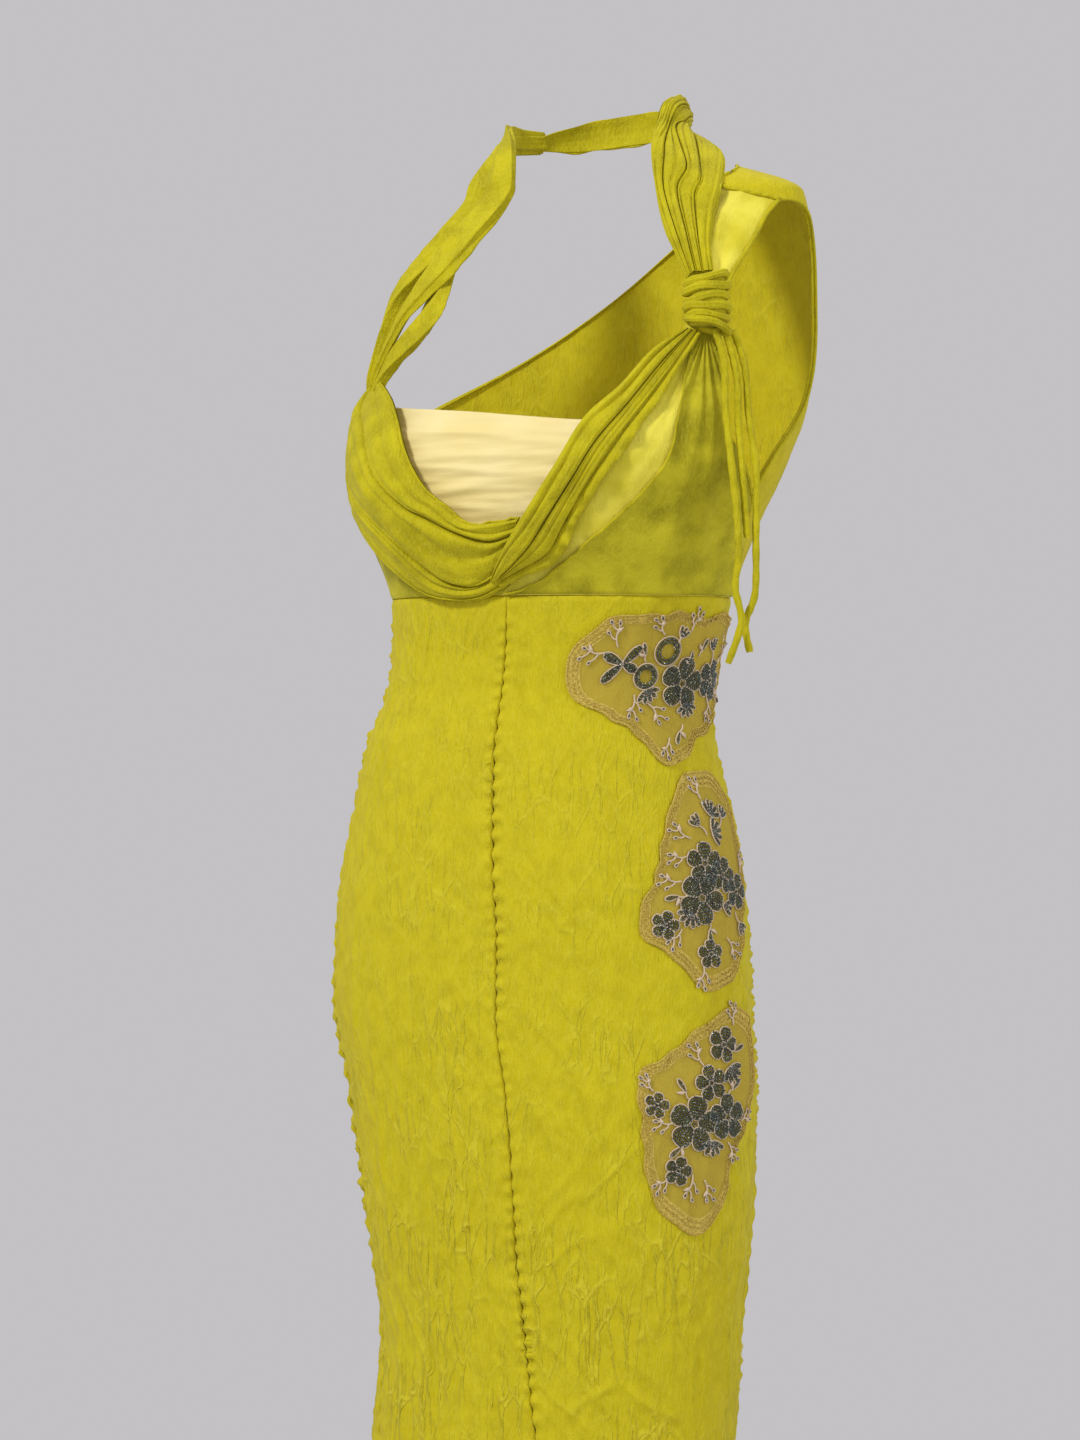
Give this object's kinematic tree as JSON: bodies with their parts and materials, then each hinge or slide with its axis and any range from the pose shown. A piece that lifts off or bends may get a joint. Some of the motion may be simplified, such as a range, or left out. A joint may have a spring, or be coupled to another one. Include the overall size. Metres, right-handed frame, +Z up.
{
  "type": "midi dress",
  "caption": "Bias-cut midi dress in crinkled georgette with a twisted cowl and collar, a wound shoulder tie, a cream inset across the bust and beaded net motifs down the left hip",
  "frame": {"origin": "Inside the neck opening at shoulder height, where a wearer's shoulders and neck hold the dress up", "axes": "+Z up; the front of the dress faces -Y, and the wearer's left is +X"},
  "size_m": [0.4202, 0.3466, 1.3012],
  "materials": {
    "georgette": "crinkled matt silk georgette, chartreuse",
    "sheer_georgette": "one sheer layer of the same georgette, which looks lighter",
    "cream_silk": "soft matt cream silk",
    "net": "fine tan net with dark beads and pale corded outlines"
  },
  "bodies": {
    "root": {"skirt_front_right": "georgette", "skirt_front_left": "georgette", "skirt_back": "georgette", "bodice_front_left": "sheer_georgette", "bodice_front_right": "sheer_georgette", "bodice_back": "georgette", "yoke_left": "sheer_georgette", "bandeau": "cream_silk", "strap_right": "georgette", "collar_back": "georgette", "collar_left": "georgette", "cowl_roll": "georgette", "cowl_right": "georgette", "knot_wrap": "georgette", "tie_long": "georgette", "tie_middle": "georgette", "tie_short": "georgette", "net_waist": "net", "net_hip": "net", "net_thigh": "net"}
  },
  "joints": []
}
